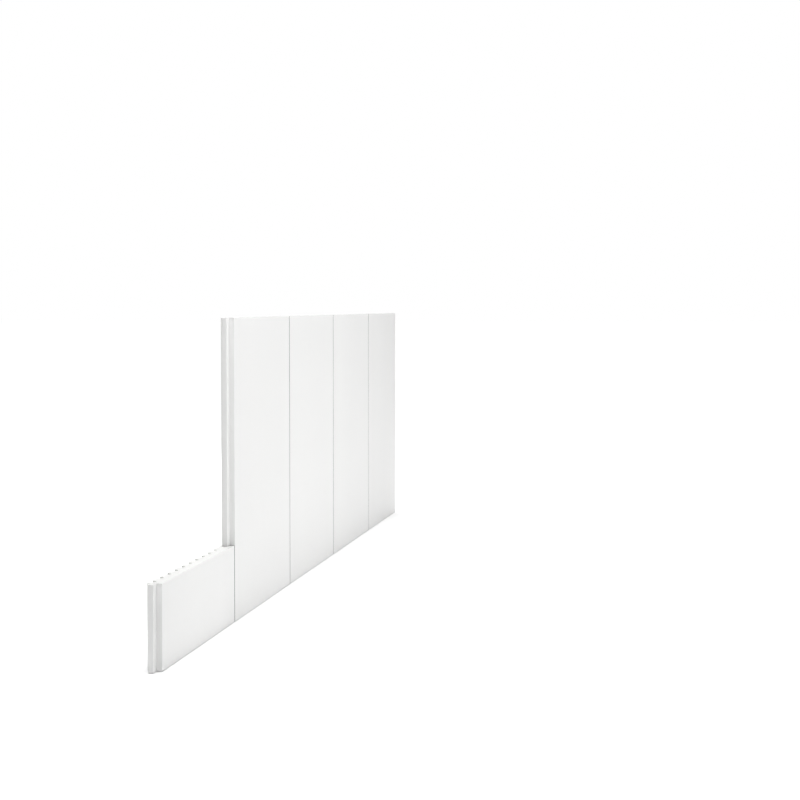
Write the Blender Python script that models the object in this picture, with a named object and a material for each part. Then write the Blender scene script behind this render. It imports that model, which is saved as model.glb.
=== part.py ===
"""Flat band moulding: a run of flat wall panelling boards that interlock by tongue and slot.

The boards stand side by side on a wall. Each is an extrusion with its section lying flat:
a plain front, a tongue on the left edge, a slot on the right edge and a ribbed back.
The first board is cut low and the last one is cut narrow, to end in a corner of a room.

Frame, in metres: +X along the run, from the tongue to the cut end, +Z up, and the wall is the
plane Y = 0, so the plain fronts face -Y. The origin is on the back of a rib of the middle board,
halfway up the tall boards.
"""

import math

import bpy

# Driving dimensions of one board
COVER_WIDTH = 0.250
THICKNESS = 0.012
TALL_HEIGHT = 0.270
SHORT_HEIGHT = 0.068

# The run: one short board, full tall boards, and one more that is cut narrow
FULL_TALL_BOARDS = 3
END_WIDTH = 0.225

# Tongue and slot
TONGUE_LENGTH = 0.009
TONGUE_THICKNESS = 0.0047
TONGUE_FROM_BACK = 0.0027
TONGUE_NOSE_RADIUS = 0.0018
TONGUE_FRONT_RADIUS = 0.0006
FIT_CLEARANCE = 0.0003
TIP_CLEARANCE = 0.0006

# Gaps that the slot's two lips leave to the next board; the front one is the joint's shadow line
SHADOW_GAP = 0.0018
BACK_GAP = 0.0013

# Long edges of the front lip and of the back
LIP_BEVEL = 0.0004
BACK_CORNER_RADIUS = 0.0010

# Ribbed back
RIB_PITCH = 0.0227
FIRST_GROOVE = 0.0090
GROOVE_MOUTH = 0.0130
GROOVE_FLOOR = 0.0050
GROOVE_DEPTH = 0.0048
GROOVE_FLOOR_RADIUS = 0.0022
RIB_SHOULDER_RADIUS = 0.0030
RIB_LAND = 0.0030

# Arcs: their step, and the most of a side that one rounded corner may take up
ARC_STEP = math.radians(20)
SIDE_SHARE = 0.49

COLLECTION = "flat_band_moulding"
BOARD_COLOUR = (0.87, 0.87, 0.86, 1.0)
BOARD_ROUGHNESS = 0.55


def clear_scene():
    for obj in list(bpy.data.objects):
        bpy.data.objects.remove(obj, do_unlink=True)


def rounded_corner(before, corner, after, radius):
    """The points of an arc that takes off one corner of an outline."""
    to_before = (before[0] - corner[0], before[1] - corner[1])
    to_after = (after[0] - corner[0], after[1] - corner[1])
    length_before = math.hypot(*to_before)
    length_after = math.hypot(*to_after)
    unit_before = (to_before[0] / length_before, to_before[1] / length_before)
    unit_after = (to_after[0] / length_after, to_after[1] / length_after)
    cosine = unit_before[0] * unit_after[0] + unit_before[1] * unit_after[1]
    half_angle = math.acos(max(-1.0, min(1.0, cosine))) / 2
    longest = SIDE_SHARE * min(length_before, length_after)
    tangent = min(radius / math.tan(half_angle), longest)
    fitted_radius = tangent * math.tan(half_angle)
    to_centre = (unit_before[0] + unit_after[0], unit_before[1] + unit_after[1])
    reach = fitted_radius / math.sin(half_angle) / math.hypot(*to_centre)
    centre = (corner[0] + to_centre[0] * reach, corner[1] + to_centre[1] * reach)
    start = (corner[0] + unit_before[0] * tangent, corner[1] + unit_before[1] * tangent)
    end = (corner[0] + unit_after[0] * tangent, corner[1] + unit_after[1] * tangent)
    first_angle = math.atan2(start[1] - centre[1], start[0] - centre[0])
    last_angle = math.atan2(end[1] - centre[1], end[0] - centre[0])
    turn = (last_angle - first_angle + math.pi) % (2 * math.pi) - math.pi
    steps = max(1, math.ceil(abs(turn) / ARC_STEP))
    points = []
    for i in range(steps + 1):
        angle = first_angle + turn * i / steps
        points.append((centre[0] + fitted_radius * math.cos(angle),
                       centre[1] + fitted_radius * math.sin(angle)))
    return points


def round_outline(corners):
    """Corners are (along, out, radius); a radius of 0 leaves the corner sharp."""
    points = []
    for i, (along, out, radius) in enumerate(corners):
        if radius == 0:
            points.append((along, out))
            continue
        before = corners[i - 1]
        after = corners[(i + 1) % len(corners)]
        points += rounded_corner(before, (along, out), after, radius)
    return points


def tongue_edge():
    """The left edge, from the front down to the back: left face, tongue and back shoulder."""
    tongue_front = TONGUE_FROM_BACK + TONGUE_THICKNESS
    return [
        (0, THICKNESS, 0),
        (0, tongue_front, 0),
        (-TONGUE_LENGTH, tongue_front, TONGUE_FRONT_RADIUS),
        (-TONGUE_LENGTH, TONGUE_FROM_BACK, TONGUE_NOSE_RADIUS),
        (0, TONGUE_FROM_BACK, 0),
        (0, 0, BACK_CORNER_RADIUS),
    ]


def groove_middles(last_use):
    """Where the grooves of the back are, as far as the last one that fits whole."""
    room = last_use - RIB_LAND - GROOVE_MOUTH / 2 - FIRST_GROOVE
    return [FIRST_GROOVE + i * RIB_PITCH for i in range(int(room / RIB_PITCH) + 1)]


def ribbed_back(last_use):
    """The outline of the grooves, from left to right."""
    corners = []
    for middle in groove_middles(last_use):
        corners += [
            (middle - GROOVE_MOUTH / 2, 0, RIB_SHOULDER_RADIUS),
            (middle - GROOVE_FLOOR / 2, GROOVE_DEPTH, GROOVE_FLOOR_RADIUS),
            (middle + GROOVE_FLOOR / 2, GROOVE_DEPTH, GROOVE_FLOOR_RADIUS),
            (middle + GROOVE_MOUTH / 2, 0, RIB_SHOULDER_RADIUS),
        ]
    return corners


def slot_bottom():
    """How far along a full board its slot reaches in, just past the tip of the next tongue."""
    return COVER_WIDTH - TONGUE_LENGTH - TIP_CLEARANCE


def slot_edge():
    """The right edge of a full board, from the back to the front: back lip, slot and front lip."""
    front_lip = COVER_WIDTH - SHADOW_GAP
    back_lip = COVER_WIDTH - BACK_GAP
    slot_back = TONGUE_FROM_BACK - FIT_CLEARANCE
    slot_front = TONGUE_FROM_BACK + TONGUE_THICKNESS + FIT_CLEARANCE
    return [
        (back_lip, 0, BACK_CORNER_RADIUS),
        (back_lip, slot_back, 0),
        (slot_bottom(), slot_back, 0),
        (slot_bottom(), slot_front, 0),
        (front_lip, slot_front, 0),
        (front_lip, THICKNESS - LIP_BEVEL, 0),
        (front_lip - LIP_BEVEL, THICKNESS, 0),
    ]


def cut_edge(width):
    """The right edge of a board that is sawn to width, square and sharp."""
    return [(width, 0, 0), (width, THICKNESS, 0)]


def full_section():
    return tongue_edge() + ribbed_back(slot_bottom()) + slot_edge()


def end_section():
    return tongue_edge() + ribbed_back(END_WIDTH) + cut_edge(END_WIDTH)


def origin_along_run():
    """How far the origin is from the left face of the short board."""
    middle_board = (1 + FULL_TALL_BOARDS) // 2
    middles = groove_middles(slot_bottom())
    after_rib = len(middles) // 2
    middle_rib = (middles[after_rib - 1] + middles[after_rib]) / 2
    return middle_board * COVER_WIDTH + middle_rib


def board_material():
    material = bpy.data.materials.new("primed_polymer")
    material.use_nodes = True
    shader = material.node_tree.nodes["Principled BSDF"]
    shader.inputs["Base Color"].default_value = BOARD_COLOUR
    shader.inputs["Roughness"].default_value = BOARD_ROUGHNESS
    shader.inputs["Metallic"].default_value = 0.0
    material.diffuse_color = BOARD_COLOUR
    return material


def make_board(name, corners, height, place_in_run, material, collection):
    """One board: its section as a flat filled outline, extruded to its height."""
    curve = bpy.data.curves.new(name, "CURVE")
    curve.dimensions = "2D"
    curve.fill_mode = "BOTH"
    curve.extrude = height / 2
    points = round_outline(corners)
    spline = curve.splines.new("POLY")
    spline.points.add(len(points) - 1)
    for point, (along, out) in zip(spline.points, points):
        point.co = (along, -out, 0, 1)
    spline.use_cyclic_u = True
    curve.materials.append(material)
    board = bpy.data.objects.new(name, curve)
    left_face = place_in_run * COVER_WIDTH - origin_along_run()
    board.location = (left_face, 0, (height - TALL_HEIGHT) / 2)
    collection.objects.link(board)
    return board


def main():
    clear_scene()
    collection = bpy.data.collections.new(COLLECTION)
    bpy.context.scene.collection.children.link(collection)
    material = board_material()
    make_board("short_board", full_section(), SHORT_HEIGHT, 0, material, collection)
    for i in range(1, FULL_TALL_BOARDS + 1):
        make_board(f"tall_board_{i}", full_section(), TALL_HEIGHT, i, material, collection)
    last_place = FULL_TALL_BOARDS + 1
    make_board("end_board", end_section(), TALL_HEIGHT, last_place, material, collection)


main()
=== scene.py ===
"""Looks of the flat band moulding: five interlocking wall panelling boards in white primed polymer."""

import math

import bmesh
import bpy
from mathutils import Matrix, Vector


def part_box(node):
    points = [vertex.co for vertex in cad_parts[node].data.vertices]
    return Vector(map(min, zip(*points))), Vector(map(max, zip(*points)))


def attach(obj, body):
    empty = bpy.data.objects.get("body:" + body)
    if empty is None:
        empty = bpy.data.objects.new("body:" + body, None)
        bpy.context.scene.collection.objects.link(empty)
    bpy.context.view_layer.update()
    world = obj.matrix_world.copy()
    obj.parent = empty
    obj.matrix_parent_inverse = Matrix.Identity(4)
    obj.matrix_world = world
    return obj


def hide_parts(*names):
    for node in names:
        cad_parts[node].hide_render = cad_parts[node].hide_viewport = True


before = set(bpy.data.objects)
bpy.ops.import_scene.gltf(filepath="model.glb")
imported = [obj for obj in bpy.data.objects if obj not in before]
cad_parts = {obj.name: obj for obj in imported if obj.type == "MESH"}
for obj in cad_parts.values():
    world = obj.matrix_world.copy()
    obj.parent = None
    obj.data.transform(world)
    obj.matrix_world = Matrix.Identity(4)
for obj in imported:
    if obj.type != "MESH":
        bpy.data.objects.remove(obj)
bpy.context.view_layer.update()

# Boards of the run, from left to right; only the last has no slot
FULL_BOARDS = ["short_board", "tall_board_1", "tall_board_2", "tall_board_3"]
END_BOARD = "end_board"

# Section of a board, in metres: tongue, slot and long front edges
TONGUE_LENGTH = 0.009
TONGUE_THICKNESS = 0.0047
TONGUE_FROM_BACK = 0.0027
TONGUE_NOSE_RADIUS = 0.0018
TONGUE_FRONT_RADIUS = 0.0006
FIT_CLEARANCE = 0.0003
TIP_CLEARANCE = 0.0006
SHADOW_GAP = 0.0018
BACK_GAP = 0.0013
LIP_BEVEL = 0.0004
BACK_CORNER_RADIUS = 0.0010

# Ribbed back
RIB_PITCH = 0.0227
FIRST_GROOVE = 0.0090
GROOVE_MOUTH = 0.0130
GROOVE_FLOOR = 0.0050
GROOVE_DEPTH = 0.0048
GROOVE_FLOOR_RADIUS = 0.0022
RIB_SHOULDER_RADIUS = 0.0030
RIB_LAND = 0.0030

# Fine rounding that extrusion and the saw leave; the saw's is the smaller, so corners stay whole
ARRIS = 0.00018
SAWN_ARRIS = 0.00014
SAWN_ARRIS_STEPS = 3

# Arcs: their step, and the most of a side that one rounded corner may take up
ARC_STEP = math.radians(7.5)
SIDE_SHARE = 0.49

# The fold from which an edge shows, the least cosine that an inset divides by, and what touches
SHARP_FROM = math.radians(30)
LEAST_LEAN = 0.5
TOUCHING = 0.00001

# Finishes, and the painted joint shade, in the order of a board's material slots
SKIN, SAWN, PAINTED_JOINT_SHADE, BACK = range(4)

# Colours: primer, a dark copy of the primer painted in as the shade inside a closed joint, the unprimed
# back, and sawn foam
PRIMER_DARK = (0.862, 0.863, 0.858, 1)
PRIMER_LIGHT = (0.884, 0.883, 0.876, 1)
PAINTED_JOINT_SHADE_DARK = (0.22, 0.22, 0.215, 1)
PAINTED_JOINT_SHADE_LIGHT = (0.28, 0.28, 0.275, 1)
BACK_DARK = (0.74, 0.74, 0.725, 1)
BACK_LIGHT = (0.81, 0.81, 0.795, 1)
CELL_WALL = (0.73, 0.73, 0.72, 1)
CELL_HOLLOW = (0.62, 0.62, 0.61, 1)

# Noise values that spread over a finish's range
NOISE_LOW = 0.3
NOISE_HIGH = 0.7

# A colour mix's sockets, by number, because other kinds of mix share their names
MIX_FACTOR = 0
MIX_FIRST = 6
MIX_SECOND = 7
MIX_RESULT = 2

# Camera, from the left face of the short board, the wall plane and the floor
CAMERA_BEFORE_LEFT_FACE = 1.520
CAMERA_OUT_OF_WALL = 0.417
CAMERA_ABOVE_FLOOR = 0.282
CAMERA_PAN = math.radians(8.256)
CAMERA_TILT = math.radians(2.678)
CAMERA_LENS_MM = 92.14
CAMERA_SENSOR_MM = 36.0

# Studio floor, with the hairline that sawn edges leave under a board
FLOOR_HALF_SIDE = 30.0
FLOOR_GAP = 0.0004
FLOOR_COLOUR = (0.93, 0.93, 0.93, 1)
FLOOR_ROUGHNESS = 0.9
FLOOR_GLOW = 0.02

# Studio light: a backdrop that is white to the camera and dim as a light, under a wide key
WHITE = (1, 1, 1, 1)
BACKDROP_WHITE = 1.0
AMBIENT = 0.02
KEY_STRENGTH = 3.53
KEY_SOFTNESS = math.radians(60)


def rounded_corner(before, corner, after, radius):
    """The points of an arc that takes off one corner of an outline."""
    corner = Vector(corner)
    to_before = Vector(before) - corner
    to_after = Vector(after) - corner
    longest = SIDE_SHARE * min(to_before.length, to_after.length)
    to_before.normalize()
    to_after.normalize()
    half_angle = to_before.angle(to_after) / 2
    tangent = min(radius / math.tan(half_angle), longest)
    fitted_radius = tangent * math.tan(half_angle)
    centre = corner + (to_before + to_after).normalized() * fitted_radius / math.sin(half_angle)
    start = corner + to_before * tangent - centre
    end = corner + to_after * tangent - centre
    first_angle = math.atan2(start.y, start.x)
    turn = (math.atan2(end.y, end.x) - first_angle + math.pi) % (2 * math.pi) - math.pi
    steps = max(2, math.ceil(abs(turn) / ARC_STEP))
    angles = [first_angle + turn * i / steps for i in range(steps + 1)]
    return [centre + fitted_radius * Vector((math.cos(a), math.sin(a))) for a in angles]


def round_outline(corners):
    """Corners are (along, out, radius), and each is rounded."""
    points = []
    for i, (along, out, radius) in enumerate(corners):
        before = corners[i - 1][:2]
        after = corners[(i + 1) % len(corners)][:2]
        points += rounded_corner(before, (along, out), after, radius)
    return points


def tongue_edge(thickness):
    """The left edge, from the front down to the back."""
    tongue_front = TONGUE_FROM_BACK + TONGUE_THICKNESS
    return [
        (0, thickness, ARRIS),
        (0, tongue_front, ARRIS),
        (-TONGUE_LENGTH, tongue_front, TONGUE_FRONT_RADIUS),
        (-TONGUE_LENGTH, TONGUE_FROM_BACK, TONGUE_NOSE_RADIUS),
        (0, TONGUE_FROM_BACK, ARRIS),
        (0, 0, BACK_CORNER_RADIUS),
    ]


def ribbed_back(last_use):
    """The grooves of the back, from left to right, as far as the last one that fits whole."""
    room = last_use - RIB_LAND - GROOVE_MOUTH / 2 - FIRST_GROOVE
    corners = []
    for i in range(int(room / RIB_PITCH) + 1):
        middle = FIRST_GROOVE + i * RIB_PITCH
        corners += [
            (middle - GROOVE_MOUTH / 2, 0, RIB_SHOULDER_RADIUS),
            (middle - GROOVE_FLOOR / 2, GROOVE_DEPTH, GROOVE_FLOOR_RADIUS),
            (middle + GROOVE_FLOOR / 2, GROOVE_DEPTH, GROOVE_FLOOR_RADIUS),
            (middle + GROOVE_MOUTH / 2, 0, RIB_SHOULDER_RADIUS),
        ]
    return corners


def slot_bottom(width):
    """How far along a full board its slot reaches in, just past the tip of the next tongue."""
    return width + BACK_GAP - TONGUE_LENGTH - TIP_CLEARANCE


def slot_edge(width, thickness):
    """The right edge of a full board, from the back to the front: back lip, slot and front lip."""
    back_lip = width
    front_lip = width + BACK_GAP - SHADOW_GAP
    slot_back = TONGUE_FROM_BACK - FIT_CLEARANCE
    slot_front = TONGUE_FROM_BACK + TONGUE_THICKNESS + FIT_CLEARANCE
    return [
        (back_lip, 0, BACK_CORNER_RADIUS),
        (back_lip, slot_back, ARRIS),
        (slot_bottom(width), slot_back, ARRIS),
        (slot_bottom(width), slot_front, ARRIS),
        (front_lip, slot_front, ARRIS),
        (front_lip, thickness - LIP_BEVEL, ARRIS),
        (front_lip - LIP_BEVEL, thickness, ARRIS),
    ]


def cut_edge(width, thickness):
    """The right edge of a board that is sawn to width."""
    return [(width, 0, ARRIS), (width, thickness, ARRIS)]


def board_section(width, thickness, slotted):
    """The outline of a board, from its left face at 0 to its right edge at width."""
    if slotted:
        return tongue_edge(thickness) + ribbed_back(slot_bottom(width)) + slot_edge(width, thickness)
    return tongue_edge(thickness) + ribbed_back(width) + cut_edge(width, thickness)


def finish_between(first, second, width, thickness, slotted):
    """The finish of one stretch of the outline, the painted joint shade on the slot's faces, and whether
    it is on the tongue's side.
    """
    middle = (first + second) / 2
    if middle.x < TOUCHING:
        return SKIN, True
    in_lips = BACK_CORNER_RADIUS < middle.y < thickness - LIP_BEVEL
    # The slot's faces take the painted joint shade
    if slotted and in_lips and middle.x > slot_bottom(width) - TOUCHING:
        return PAINTED_JOINT_SHADE, False
    if not slotted and middle.x > width - TOUCHING:
        return SAWN, False
    if middle.y < GROOVE_DEPTH + TOUCHING:
        return BACK, False
    return SKIN, False


def inset_outline(points, distance):
    """The outline moved inwards by distance, with as many points."""
    moved = []
    for i, point in enumerate(points):
        before = (point - points[i - 1]).normalized()
        after = (points[(i + 1) % len(points)] - point).normalized()
        inward = Vector((before.y + after.y, -before.x - after.x)).normalized()
        lean = max(LEAST_LEAN, inward.dot(Vector((after.y, -after.x))))
        moved.append(point - inward * distance / lean)
    return moved


def sawn_rings(points, bottom, joined_to, top):
    """Outlines and heights up a board, closing in at its sawn ends, with one where a joint ends."""
    end_rings = []
    for i in range(SAWN_ARRIS_STEPS + 1):
        angle = math.pi / 2 * i / SAWN_ARRIS_STEPS
        outline = inset_outline(points, SAWN_ARRIS * (1 - math.sin(angle)))
        end_rings.append((outline, SAWN_ARRIS * (1 - math.cos(angle))))
    lower = [(outline, bottom + rise) for outline, rise in end_rings]
    upper = [(outline, top - rise) for outline, rise in reversed(end_rings)]
    middle = [(points, joined_to)] if bottom < joined_to < top else []
    return lower + middle + upper


def board_mesh(name, points, finishes, left_face, bottom, joined_to, top):
    """Walls between the rings and a sawn cap at each end."""
    parts = bmesh.new()
    loops = []
    for outline, height in sawn_rings(points, bottom, joined_to, top):
        loops.append([parts.verts.new((left_face + p.x, -p.y, height)) for p in outline])
    for lower, upper in zip(loops, loops[1:]):
        in_joint = upper[0].co.z < joined_to + TOUCHING
        for i, (finish, tongue_side) in enumerate(finishes):
            j = (i + 1) % len(lower)
            wall = parts.faces.new((lower[i], lower[j], upper[j], upper[i]))
            # Tongue-side faces inside a closed joint take the painted joint shade
            wall.material_index = PAINTED_JOINT_SHADE if tongue_side and in_joint else finish
            wall.smooth = True
    caps = [parts.faces.new(loop) for loop in (loops[0], loops[-1])]
    for cap in caps:
        cap.material_index = SAWN
    bmesh.ops.recalc_face_normals(parts, faces=parts.faces)
    bmesh.ops.triangulate(parts, faces=caps, ngon_method="EAR_CLIP")
    mesh = bpy.data.meshes.new(name)
    parts.to_mesh(mesh)
    parts.free()
    mesh.set_sharp_from_angle(angle=SHARP_FROM)
    return mesh


def add_board(node, slotted, joined_to, materials):
    """A finished board in the place of its CAD node; its tongue is in a joint up to joined_to."""
    low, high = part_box(node)
    left_face = low[0] + TONGUE_LENGTH
    width = high[0] - left_face
    thickness = high[1] - low[1]
    points = round_outline(board_section(width, thickness, slotted))
    finishes = []
    for i, point in enumerate(points):
        following = points[(i + 1) % len(points)]
        finishes.append(finish_between(point, following, width, thickness, slotted))
    name = node + "_moulding"
    mesh = board_mesh(name, points, finishes, left_face, low[2], joined_to, high[2])
    for material in materials:
        mesh.materials.append(material)
    board = bpy.data.objects.new(name, mesh)
    bpy.context.scene.collection.objects.link(board)
    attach(board, "root")
    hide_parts(node)


def add_boards(materials):
    """All boards; each tongue is in a joint as high as the board to its left reaches."""
    left_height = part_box(FULL_BOARDS[0])[0][2]
    for node in FULL_BOARDS + [END_BOARD]:
        add_board(node, node != END_BOARD, left_height, materials)
        left_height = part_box(node)[1][2]


def add_node(tree, kind, **inputs):
    """A shader node with its inputs set by name, with _ for a space."""
    node = tree.nodes.new(kind)
    for name, value in inputs.items():
        node.inputs[name.replace("_", " ")].default_value = value
    return node


def new_material(name, colour, roughness):
    """A material, its node tree and its shader."""
    material = bpy.data.materials.new(name)
    material.use_nodes = True
    shader = material.node_tree.nodes["Principled BSDF"]
    shader.inputs["Base Color"].default_value = colour
    shader.inputs["Roughness"].default_value = roughness
    return material, material.node_tree, shader


def placed_noise(tree, stretch, **inputs):
    """Noise in the object's own coordinates, stretched by a scale for each axis."""
    place = tree.nodes.new("ShaderNodeTexCoord")
    mapping = add_node(tree, "ShaderNodeMapping", Scale=stretch)
    noise = add_node(tree, "ShaderNodeTexNoise", **inputs)
    tree.links.new(place.outputs["Object"], mapping.inputs["Vector"])
    tree.links.new(mapping.outputs["Vector"], noise.inputs["Vector"])
    return noise


def add_bump(tree, height, strength, distance, before=None):
    """A bump from height, on top of the bump before it where there is one."""
    bump = add_node(tree, "ShaderNodeBump", Strength=strength, Distance=distance)
    tree.links.new(height, bump.inputs["Height"])
    if before is not None:
        tree.links.new(before.outputs["Normal"], bump.inputs["Normal"])
    return bump


def add_range(tree, value, low, high):
    """A noise value spread over low to high."""
    spread = add_node(tree, "ShaderNodeMapRange", From_Min=NOISE_LOW, From_Max=NOISE_HIGH,
                      To_Min=low, To_Max=high)
    tree.links.new(value, spread.inputs["Value"])
    return spread.outputs["Result"]


def add_tint(tree, factor, first, second):
    """A colour between first and second, by factor."""
    mix = tree.nodes.new("ShaderNodeMix")
    mix.data_type = "RGBA"
    mix.inputs[MIX_FIRST].default_value = first
    mix.inputs[MIX_SECOND].default_value = second
    tree.links.new(factor, mix.inputs[MIX_FACTOR])
    return mix.outputs[MIX_RESULT]


def primed_skin(name, dark, light):
    """Primer on a dense extruded skin: faint streaks along the board and a fine sprayed grain."""
    material, tree, shader = new_material(name, light, roughness=0.5)
    cloud = placed_noise(tree, stretch=(1, 1, 0.4), Scale=9.0, Detail=4.0)
    streak = placed_noise(tree, stretch=(1, 1, 0.015), Scale=420.0, Detail=3.0)
    grain = placed_noise(tree, stretch=(1, 1, 1), Scale=1800.0, Detail=3.0)
    tint = add_tint(tree, cloud.outputs["Fac"], dark, light)
    roughness = add_range(tree, streak.outputs["Fac"], low=0.46, high=0.58)
    streaks = add_bump(tree, streak.outputs["Fac"], strength=0.25, distance=0.00012)
    fine = add_bump(tree, grain.outputs["Fac"], strength=0.30, distance=0.00008, before=streaks)
    tree.links.new(tint, shader.inputs["Base Color"])
    tree.links.new(roughness, shader.inputs["Roughness"])
    tree.links.new(fine.outputs["Normal"], shader.inputs["Normal"])
    return material


def raw_back():
    """The unprimed back: die lines along the ribs and a dry, slightly pitted skin."""
    material, tree, shader = new_material("raw_back", BACK_LIGHT, roughness=0.7)
    lines = placed_noise(tree, stretch=(1, 1, 0.004), Scale=900.0, Detail=2.0)
    cloud = placed_noise(tree, stretch=(1, 1, 0.3), Scale=30.0, Detail=5.0)
    pits = placed_noise(tree, stretch=(1, 1, 0.6), Scale=1400.0, Detail=4.0)
    tint = add_tint(tree, cloud.outputs["Fac"], BACK_DARK, BACK_LIGHT)
    roughness = add_range(tree, pits.outputs["Fac"], low=0.60, high=0.82)
    drawn = add_bump(tree, lines.outputs["Fac"], strength=0.45, distance=0.00015)
    pitted = add_bump(tree, pits.outputs["Fac"], strength=0.35, distance=0.00012, before=drawn)
    tree.links.new(tint, shader.inputs["Base Color"])
    tree.links.new(roughness, shader.inputs["Roughness"])
    tree.links.new(pitted.outputs["Normal"], shader.inputs["Normal"])
    return material


def sawn_foam():
    """The sawn ends: fine closed cells and faint saw lines across the thickness."""
    material, tree, shader = new_material("sawn_foam", CELL_WALL, roughness=0.75)
    place = tree.nodes.new("ShaderNodeTexCoord")
    cells = add_node(tree, "ShaderNodeTexVoronoi", Scale=2600.0, Randomness=1.0)
    tree.links.new(place.outputs["Object"], cells.inputs["Vector"])
    lines = placed_noise(tree, stretch=(1, 0.06, 1), Scale=1500.0, Detail=2.0)
    tint = add_tint(tree, cells.outputs["Distance"], CELL_WALL, CELL_HOLLOW)
    sawing = add_bump(tree, lines.outputs["Fac"], strength=0.35, distance=0.00015)
    pores = add_bump(tree, cells.outputs["Distance"], strength=0.5, distance=0.0002, before=sawing)
    tree.links.new(tint, shader.inputs["Base Color"])
    tree.links.new(pores.outputs["Normal"], shader.inputs["Normal"])
    return material


def add_floor(height):
    """A wide pale floor, which the boards stand on."""
    bpy.ops.mesh.primitive_plane_add(size=2 * FLOOR_HALF_SIDE, location=(0, 0, height))
    floor = bpy.context.object
    floor.name = "studio_floor"
    material, _, shader = new_material("studio_floor", FLOOR_COLOUR, FLOOR_ROUGHNESS)
    shader.inputs["Emission Color"].default_value = WHITE
    shader.inputs["Emission Strength"].default_value = FLOOR_GLOW
    floor.data.materials.append(material)


def add_world():
    """White as the camera sees it, and dimmer as a source of light."""
    world = bpy.data.worlds.new("studio")
    world.use_nodes = True
    bpy.context.scene.world = world
    tree = world.node_tree
    tree.nodes.clear()
    seen = add_node(tree, "ShaderNodeBackground", Color=WHITE, Strength=BACKDROP_WHITE)
    lighting = add_node(tree, "ShaderNodeBackground", Color=WHITE, Strength=AMBIENT)
    path = tree.nodes.new("ShaderNodeLightPath")
    mix = tree.nodes.new("ShaderNodeMixShader")
    out = tree.nodes.new("ShaderNodeOutputWorld")
    unseen_input, seen_input = mix.inputs[1:]
    tree.links.new(path.outputs["Is Camera Ray"], mix.inputs["Fac"])
    tree.links.new(lighting.outputs["Background"], unseen_input)
    tree.links.new(seen.outputs["Background"], seen_input)
    tree.links.new(mix.outputs["Shader"], out.inputs["Surface"])


def aimed(location, target):
    """The rotation of a light that shines from location to target."""
    return (Vector(target) - Vector(location)).to_track_quat("-Z", "Y").to_euler()


def add_overhead_key():
    """A wide sun from straight above, with edges as soft as an overcast sky's."""
    light = bpy.data.lights.new("overhead_key", "SUN")
    light.energy = KEY_STRENGTH
    light.angle = KEY_SOFTNESS
    lamp = bpy.data.objects.new("overhead_key", light)
    bpy.context.scene.collection.objects.link(lamp)


def add_softbox(name, place, target, length, depth, power):
    """A rectangular light, with its length along X."""
    light = bpy.data.lights.new(name, "AREA")
    light.shape = "RECTANGLE"
    light.size = length
    light.size_y = depth
    light.energy = power
    lamp = bpy.data.objects.new(name, light)
    lamp.location = place
    lamp.rotation_euler = aimed(place, target)
    bpy.context.scene.collection.objects.link(lamp)


def add_lights():
    """The key, two strips before the fronts, one box over the step and one behind, in metres and watts."""
    add_overhead_key()
    add_softbox("front_strip", place=(0, -0.60, 0.45), target=(0, 0, 0.1),
                length=1.4, depth=0.2, power=1.93)
    add_softbox("upper_strip", place=(-0.3, -0.72, 0.70), target=(-0.3, 0, 0.15),
                length=0.7, depth=0.2, power=0.86)
    add_softbox("step_kicker", place=(-0.60, -0.04, 0.40), target=(-0.36, 0, 0.03),
                length=0.15, depth=0.15, power=0.15)
    add_softbox("back_light", place=(1.2, 0.9, 0.8), target=(0, 0, 0),
                length=0.8, depth=0.8, power=9.0)


def add_camera(left_face, floor_height):
    """A camera that looks along the run from its left end, a little down and towards the wall."""
    camera_data = bpy.data.cameras.new("camera")
    camera_data.lens = CAMERA_LENS_MM
    camera_data.sensor_width = CAMERA_SENSOR_MM
    camera_data.clip_end = 4 * FLOOR_HALF_SIDE
    camera = bpy.data.objects.new("camera", camera_data)
    forward = Vector((math.cos(CAMERA_TILT) * math.cos(CAMERA_PAN),
                      math.cos(CAMERA_TILT) * math.sin(CAMERA_PAN), -math.sin(CAMERA_TILT)))
    right = forward.cross(Vector((0, 0, 1))).normalized()
    up = right.cross(forward)
    place = Vector((left_face - CAMERA_BEFORE_LEFT_FACE, -CAMERA_OUT_OF_WALL,
                    floor_height + CAMERA_ABOVE_FLOOR))
    turn = Matrix((right, up, -forward)).transposed().to_4x4()
    camera.matrix_world = Matrix.Translation(place) @ turn
    bpy.context.scene.collection.objects.link(camera)
    bpy.context.scene.camera = camera


def main():
    skin = primed_skin("primed_skin", PRIMER_DARK, PRIMER_LIGHT)
    # The joint faces get a dark copy of the primer, painted in as the shade inside the joints
    joint = primed_skin("painted_joint_shade", PAINTED_JOINT_SHADE_DARK, PAINTED_JOINT_SHADE_LIGHT)
    add_boards([skin, sawn_foam(), joint, raw_back()])
    tongue_tip, _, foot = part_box(FULL_BOARDS[0])[0]
    add_floor(foot - FLOOR_GAP)
    add_world()
    add_lights()
    add_camera(tongue_tip + TONGUE_LENGTH, foot)
    bpy.context.scene.view_settings.view_transform = "Standard"


main()
